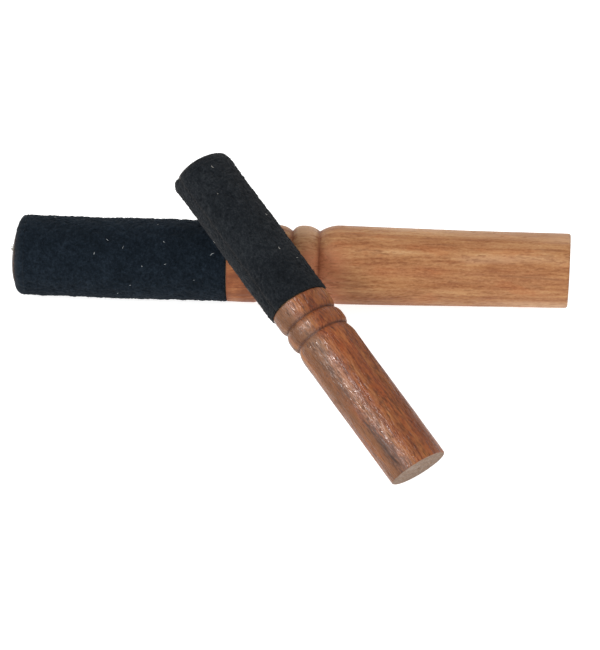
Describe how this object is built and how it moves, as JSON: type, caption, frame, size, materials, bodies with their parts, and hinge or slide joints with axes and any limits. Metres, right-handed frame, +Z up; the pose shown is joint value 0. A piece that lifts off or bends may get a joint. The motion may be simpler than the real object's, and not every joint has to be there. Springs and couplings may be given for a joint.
{
  "type": "pair of singing bowl mallets",
  "caption": "Turned hardwood singing bowl mallets, a large and a small, each with a suede sleeve glued around its striking end, the small one lying loose across the large one.",
  "frame": {"origin": "on the ground, below the middle of the pair's bounding box", "axes": "+X along the large mallet from its suede end to its handle end, +Z up, so the small mallet's wood end points to +X and -Y"},
  "size_m": [0.2, 0.1174, 0.0576],
  "materials": {
    "pale_wood": "matt, thinly waxed, open straight grain",
    "red_brown_wood": "satin, thinly oiled, open straight grain",
    "blue_black_suede": "napped suede, flesh side out",
    "charcoal_suede": "napped suede, flesh side out",
    "dried_glue": "thin dried contact adhesive"
  },
  "bodies": {
    "large_mallet": {"large_stick": "pale_wood", "large_adhesive_film": "dried_glue", "large_suede_sleeve": "blue_black_suede"},
    "small_mallet": {"small_stick": "red_brown_wood", "small_adhesive_film": "dried_glue", "small_suede_sleeve": "charcoal_suede"}
  },
  "joints": [
    {"name": "small_mallet_lift", "type": "slide", "parent": "large_mallet", "child": "small_mallet", "axis": [0, 0, 1], "range_m": [0, 0.08]}
  ]
}
